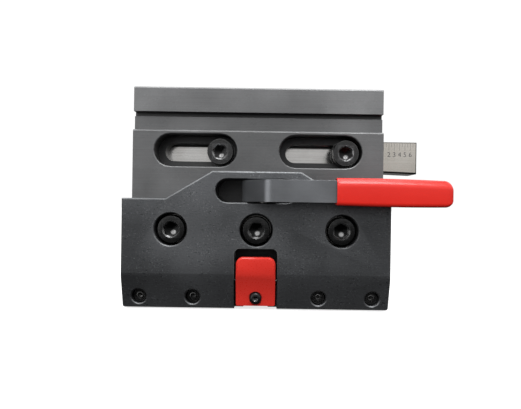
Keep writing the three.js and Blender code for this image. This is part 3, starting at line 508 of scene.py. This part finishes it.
def turned(node, profile, steps, turn):
    """A piece turned about the node's axis along Y, in place of the node and on its body.

    The profile is a list of (radius, depth behind the front face), and either may be a function
    of the angle, as on a hexagon socket or a knurled rim. The whole is rotated by turn, in radians.
    """
    front = corners(node)[0].y
    x, z = axis_of(node)
    rings = []
    for radius, depth in profile:
        ring = []
        for i in range(steps):
            angle = TURN * i / steps
            r = radius(angle) if callable(radius) else radius
            d = depth(angle) if callable(depth) else depth
            ring.append((x + r * math.cos(angle + turn), front + d, z + r * math.sin(angle + turn)))
        rings.append(ring)
    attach(skin(node, rings), BODY_OF[node])


def hexagon(across):
    """The radius of a hexagon at an angle, from its width across flats."""
    return lambda angle: across / 2 / math.cos((angle + TURN / 12) % (TURN / 6) - TURN / 12)


def socket_profile(across, rim, depth, cone):
    """A hexagon socket from its chamfered rim down its walls to a floor drilled cone deeper."""
    wall = hexagon(across)
    return [(rim, 0.0), (wall, lambda angle: 0.7 * (rim - wall(angle))), (wall, depth),
            (across * 0.47, depth + 0.05), (across * 0.12, depth + cone), (0.0, depth + cone)]


def rounding(radius, flat, drop, steps=5):
    """Profile points from (radius, drop) over a quarter ellipse to (flat, 0)."""
    return [(flat + (radius - flat) * math.cos(TURN / 4 * i / steps),
             drop - drop * math.sin(TURN / 4 * i / steps)) for i in range(steps + 1)]


def cap_screw(node, turn):
    """An M10 socket head cap screw with a knurled head; its shank, which is hidden, is plain."""
    low, high = corners(node)
    long = high.y - low.y
    head = (high.x - low.x) / 2
    shank, face = (5.0, 7.15) if node.startswith("clamp") else (4.5, 7.6)
    teeth = 60

    def knurl(angle):
        return head - 0.13 * (1 - math.cos(teeth * angle))

    profile = [(0.0, long), (shank - 1, long), (shank, long - 1), (shank, HEAD_HIGH + 0.6),
               (shank + 0.3, HEAD_HIGH), (head - 0.5, HEAD_HIGH), (head - 0.2, HEAD_HIGH - 0.3),
               (knurl, HEAD_HIGH - 0.8), (knurl, 2.0)]
    profile += rounding(head - 0.15, face, 1.5)
    profile += socket_profile(KEY_ACROSS, SOCKET_MOUTH, SOCKET_DEEP, 1.4)
    turned(node, profile, 4 * teeth, turn)


def button_head_screw(node):
    """The M4 screw in the safety button: a domed head with a hexagon socket."""
    low, high = corners(node)
    long = high.y - low.y
    shank, head, head_deep = 2.0, 3.5, 2.2
    profile = [(0.0, long), (shank - 0.5, long), (shank, long - 0.5), (shank, head_deep),
               (head - 0.2, head_deep), (head, head_deep - 0.2)]
    profile += rounding(head, 1.75, 1.75, 7)
    profile += socket_profile(2.5, 1.55, 1.4, 0.5)
    turned(node, profile, 48, 0.3)


def plunger_body(node, turn):
    """An M8 spring plunger's body: the pin's mouth behind, a raised key ring in front, a nub in its pit."""
    low, high = corners(node)
    long = high.y - low.y
    barrel = [(1.65, long - 1.0), (1.65, long), (3.5, long), (4.0, long - 0.5), (4.0, 0.6), (3.5, 0.1)]
    ring = [(2.3, 0.1), (2.1, -0.3), (1.85, -0.62), (1.5, -0.7), (1.25, -0.5), (1.15, 0.9)]
    nub = [(0.7, 1.0), (0.6, 0.2), (0.45, -0.05), (0.2, -0.18), (0.0, -0.2)]
    turned(node, barrel + ring + nub, 32, turn)


def spring(node, wire, turns):
    """A compression spring of round wire with closed end coils, in place of its node."""
    low, high = corners(node)
    x, z = axis_of(node)
    radius = (high.x - low.x) / 2 - wire
    closed = 2 * wire + 0.02       # the rise of an end coil, which lies against its neighbour
    pitch = (high.y - low.y - 2 * wire - 2 * closed) / (turns - 2)
    steps, sides = 24, 10
    rings = []
    for i in range(steps * turns + 1):
        turn = i / steps
        closed_turns = min(turn, 1) + max(turn - turns + 1, 0)
        y = low.y + wire + closed * closed_turns + pitch * (turn - closed_turns)
        out = Vector((math.cos(TURN * turn), 0, math.sin(TURN * turn)))
        centre = Vector((x, y, z)) + radius * out
        ring = []
        for k in range(sides):
            a = TURN * k / sides
            ring.append(centre + wire * (math.cos(a) * out + math.sin(a) * Vector((0, 1, 0))))
        rings.append(ring)
    piece = skin(node, rings, crease=60)
    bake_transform(piece)


def section(x, low, high, roundings):
    """A ring across X: a box from low to high (y, z), each corner a quarter ellipse of its own.

    The roundings are (depth, height), in the order front top, front foot, back foot, back top.
    """
    (y0, z0), (y1, z1) = low, high
    front_top, front_foot, back_foot, back_top = roundings
    centres = [(y0 + front_top[0], z1 - front_top[1]), (y0 + front_foot[0], z0 + front_foot[1]),
               (y1 - back_foot[0], z0 + back_foot[1]), (y1 - back_top[0], z1 - back_top[1])]
    points = 9
    ring = []
    for quarter, ((y, z), (deep, tall)) in enumerate(zip(centres, roundings), 1):
        for i in range(points):
            a = TURN / 4 * (quarter + i / (points - 1))
            ring.append((x, y + deep * math.cos(a), z + tall * math.sin(a)))
    return ring


GRIP_ROUNDINGS = ((4.2, 5.2), (1.8, 2.2), (2.2, 2.2), (2.6, 3.0))
LEAST_ROUNDING = 0.35


def grip():
    """The dipped sleeve: crowned in height, drooping a little, with a rounded lip at its mouth."""
    low, high = corners("lever_grip")
    bar_front = corners("lever_arm")[0].y
    bar_thick, bar_half, bar_end, gap = 6.0, 6.0, 101.0, 0.3
    long = high.x - low.x
    mouth_z = (low.z + high.z) / 2 + 0.25
    mouth_half = (high.z - low.z) / 2 - 0.45
    droop, narrowing, swelling = 0.5, 0.35, 1.6

    def outer(x, inset=0.0, thinning=None):
        """The outside at x, inset in height and in depth, or thinned in depth if that is given."""
        t = (x - low.x) / long
        half = mouth_half - narrowing * t + swelling * t * (1 - t) - inset
        middle = mouth_z - droop * t
        thin = inset if thinning is None else thinning
        roundings = [(max(deep - thin, LEAST_ROUNDING), max(tall - inset, LEAST_ROUNDING))
                     for deep, tall in GRIP_ROUNDINGS]
        return section(x, (low.y + thin, middle - half), (high.y - thin, middle + half), roundings)

    def inner(x, spread=0.0):
        """The inside at x, a gap round the lever's bar and spread wider still."""
        wider = gap + spread
        return section(x, (bar_front - wider, mouth_z - bar_half - wider),
                       (bar_front + bar_thick + wider, mouth_z + bar_half + wider),
                       [(0.5 + spread, 0.5 + spread)] * 4)

    rings = [inner(bar_end + gap), inner(low.x + 0.9), inner(low.x + 0.35, 0.1), inner(low.x + 0.05, 0.45),
             outer(low.x, 0.45), outer(low.x + 0.12, 0.12), outer(low.x + 0.45)]
    rings += [outer(low.x + long * i / 18) for i in range(1, 17)]
    end_radius, end_thinning, steps = 4.2, 1.8, 8
    for i in range(steps + 1):
        turn = TURN / 4 * i / steps
        drop = 1 - math.cos(turn)
        x = high.x - end_radius + end_radius * math.sin(turn)
        rings.append(outer(x, end_radius * drop, end_thinning * drop))
    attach(skin("lever_grip", rings, crease=40), "lever")


def wedge_marks():
    """The graduation on the wedge's end: a row of lines over the numbers 2 to 6, in black."""
    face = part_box("adjusting_wedge")[0].y
    top = corners("adjusting_wedge")[1].z - 0.9
    first_x, step, digits_z = 84.0, 3.45, 93.3
    shape = bmesh.new()

    def bar(x, z, wide, high):
        """A thin upright bar, sunk a little into the wedge's face."""
        near, far = ([shape.verts.new((x * MM + sx * wide * MM / 2, depth, (z + sz * high / 2) * MM))
                      for sx, sz in ((-1, -1), (1, -1), (1, 1), (-1, 1))]
                     for depth in (face - 0.03 * MM, face + 0.02 * MM))
        shape.faces.new(near)
        shape.faces.new(far[::-1])
        for i in range(4):
            shape.faces.new((near[i], far[i], far[(i + 1) % 4], near[(i + 1) % 4]))

    for i in range(-3, 10):
        high = 2.4 if i % 2 else 4.6
        bar(first_x + step * i / 2, top - high / 2, 0.17, high)
    for i in range(5):
        digit = bpy.data.curves.new("digit", "FONT")
        digit.body = str(i + 2)
        digit.size = 4.3 * MM
        digit.align_x = "CENTER"
        digit.align_y = "CENTER"
        digit.extrude = 0.025 * MM
        digit.resolution_u = 4
        letter = bpy.data.objects.new("digit", digit)
        bpy.context.scene.collection.objects.link(letter)
        letter.location = ((first_x + step * i) * MM, face - 0.005 * MM, digits_z * MM)
        letter.rotation_euler = (TURN / 4, 0, 0)
        bpy.context.view_layer.update()
        flat = bpy.data.meshes.new_from_object(letter.evaluated_get(bpy.context.evaluated_depsgraph_get()))
        flat.transform(letter.matrix_world)
        shape.from_mesh(flat)
        bpy.data.objects.remove(letter)
        bpy.data.meshes.remove(flat)
        bpy.data.curves.remove(digit)
    bmesh.ops.remove_doubles(shape, verts=shape.verts, dist=1e-7)
    bmesh.ops.recalc_face_normals(shape, faces=shape.faces)
    mesh = bpy.data.meshes.new("wedge_marks")
    shape.to_mesh(mesh)
    shape.free()
    mesh.materials.append(INK)
    piece = bpy.data.objects.new("wedge_marks", mesh)
    bpy.context.scene.collection.objects.link(piece)
    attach(piece, "wedge")


SOCKET_TURNS = {"clamp_screw_left": 0.20, "clamp_screw_middle": 0.52, "clamp_screw_right": 0.05,
                "wedge_screw_left": 0.35, "wedge_screw_right": 0.12}
for node, turn in SOCKET_TURNS.items():
    cap_screw(node, turn)
button_head_screw("button_screw")
for i in range(4):
    plunger_body(f"plunger_body_{i + 1}", 0.4 * i)
    spring(f"plunger_spring_{i + 1}", wire=0.35, turns=4)
for side in ("left", "right"):
    spring(f"return_spring_{side}", wire=0.55, turns=5)
spring("button_spring", wire=0.5, turns=5)
grip()
wedge_marks()


# ---- stage, light and camera ------------------------------------------------------------------


def stage_floor():
    """A wide pale floor, which takes shadows and isn't seen in the clamp."""
    made = Finish("pale_floor", Specular_IOR_Level=0.2, Emission_Strength=0.75)
    made.shader.inputs["Emission Color"].default_value = WHITE
    dust = made.noise(9, 3)
    colour = made.blend(dust, grey(0.40), grey(0.42))
    sheet = bpy.data.meshes.new("floor")
    half = 6.0
    sheet.from_pydata([(-half, -half, 0), (half, -half, 0), (half, half, 0), (-half, half, 0)], [],
                      [(0, 1, 2, 3)])
    sheet.materials.append(made.done(colour, made.remap(dust, 0, 1, 0.8, 0.9)))
    floor = bpy.data.objects.new("floor", sheet)
    bpy.context.scene.collection.objects.link(floor)
    floor.visible_diffuse = False
    floor.visible_glossy = False


def area_light(name, azimuth, elevation, distance, size, power, mirrored=True):
    """A square soft box facing the clamp, azimuth degrees to the left of the front.

    One that isn't mirrored lights the clamp but doesn't show in its gloss.
    """
    light = bpy.data.lights.new(name, "AREA")
    light.shape = "SQUARE"
    light.size = size
    light.energy = power
    lamp = bpy.data.objects.new(name, light)
    bpy.context.scene.collection.objects.link(lamp)
    a = math.radians(azimuth)
    e = math.radians(elevation)
    away = Vector((-math.sin(a) * math.cos(e), -math.cos(a) * math.cos(e), math.sin(e)))
    aim = (CAD_BOX[0] + CAD_BOX[1]) / 2
    lamp.location = aim + away * distance
    lamp.rotation_euler = (-away).to_track_quat("-Z", "Y").to_euler()
    lamp.visible_glossy = mirrored


def room_light():
    """A pale room, bright overhead, dim below and on the left, with a dim patch behind the camera.

    The camera itself sees a plain white backdrop.
    """
    world = bpy.data.worlds.new("room")
    bpy.context.scene.world = world
    world.use_nodes = True
    tree = world.node_tree

    def ramp(value, low, high, to_low, to_high):
        made = tree.nodes.new("ShaderNodeMapRange")
        made.interpolation_type = "SMOOTHSTEP"
        tree.links.new(value, made.inputs[0])
        for index, number in enumerate((low, high, to_low, to_high), 1):
            made.inputs[index].default_value = number
        return made.outputs[0]

    split = tree.nodes.new("ShaderNodeSeparateXYZ")
    tree.links.new(tree.nodes.new("ShaderNodeTexCoord").outputs["Generated"], split.inputs[0])
    light = ramp(split.outputs[2], *ROOM_RISE)
    for axis, values in ((0, ROOM_LEFT), (1, ROOM_PATCH)):
        dimmed = tree.nodes.new("ShaderNodeMath")
        dimmed.operation = "MULTIPLY"
        tree.links.new(light, dimmed.inputs[0])
        tree.links.new(ramp(split.outputs[axis], *values), dimmed.inputs[1])
        light = dimmed.outputs[0]
    seen = tree.nodes.new("ShaderNodeMix")
    tree.links.new(tree.nodes.new("ShaderNodeLightPath").outputs["Is Camera Ray"], seen.inputs[0])
    tree.links.new(light, seen.inputs[2])
    seen.inputs[3].default_value = BACKDROP
    back = tree.nodes["Background"]
    back.inputs["Color"].default_value = WHITE
    tree.links.new(seen.outputs[0], back.inputs["Strength"])


def camera():
    """Looks level along +Y from in front of the clamp, a hair turned, as a hand-held shot is."""
    lens = bpy.data.cameras.new("camera")
    lens.lens = 37.0
    lens.shift_x = -0.0125
    eye = bpy.data.objects.new("camera", lens)
    bpy.context.scene.collection.objects.link(eye)
    eye.location = (0.0058, -0.342, 0.060)
    eye.rotation_mode = "QUATERNION"
    level = Vector((0, 1, 0)).to_track_quat("-Z", "Y").to_matrix()
    roll = Matrix.Rotation(math.radians(0.85), 3, "Z")
    eye.rotation_quaternion = (level @ roll).to_quaternion()
    bpy.context.scene.camera = eye


WHITE = (1.0, 1.0, 1.0, 1.0)
BACKDROP = 1.05                          # the brightness that the camera sees behind the clamp
ROOM_RISE = (-0.25, 0.62, 0.03, 1.4)     # the room's brightness from below the horizon to overhead,
ROOM_LEFT = (-1.0, -0.5, 0.10, 1.0)      # from the left to the middle,
ROOM_PATCH = (-1.0, -0.93, 0.90, 1.0)    # and from straight behind the camera to the sides

stage_floor()
room_light()
area_light("key", azimuth=-12, elevation=52, distance=1.4, size=0.55, power=10)
area_light("front", azimuth=12, elevation=28, distance=1.4, size=0.40, power=11, mirrored=False)
area_light("side", azimuth=46, elevation=4, distance=1.4, size=0.9, power=4)
area_light("overhead", azimuth=5, elevation=80, distance=1.2, size=0.8, power=7)
camera()
bpy.context.scene.view_settings.view_transform = "Standard"
